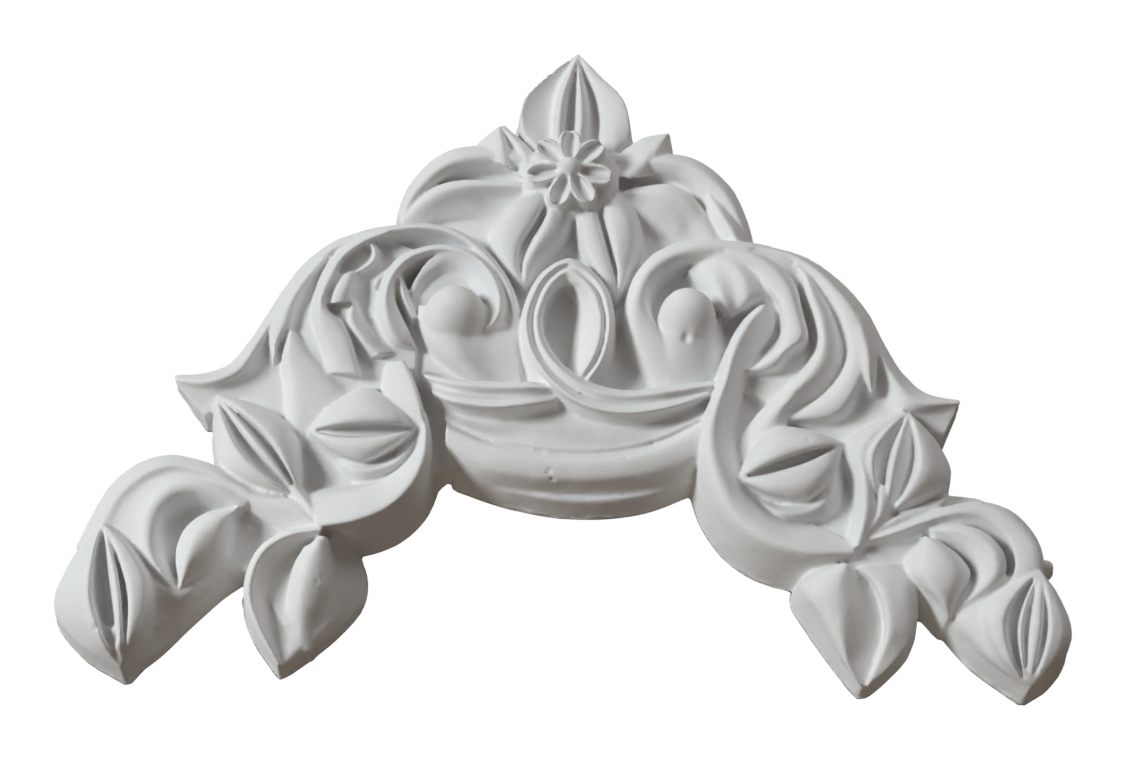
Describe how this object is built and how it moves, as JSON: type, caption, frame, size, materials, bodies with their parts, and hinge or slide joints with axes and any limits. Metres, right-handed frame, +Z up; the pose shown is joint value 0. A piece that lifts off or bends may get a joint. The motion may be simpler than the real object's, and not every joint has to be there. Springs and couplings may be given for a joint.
{
  "type": "corner applique",
  "caption": "Cast plaster corner ornament with two leafy arms at a right angle, scroll volutes, a ribbon loop, a moulded bib and a daisy crown; flat back.",
  "frame": {"origin": "on the flat back, near the middle of the casting, behind the ribbon loop", "axes": "+Y out of the back into the wall, +X to the right and +Z up as it hangs; the carving faces -Y"},
  "size_m": [0.3638, 0.0345, 0.2831],
  "materials": {
    "plaster": "matte, unpainted white plaster"
  },
  "bodies": {
    "root": {"applique": "plaster"}
  },
  "joints": []
}
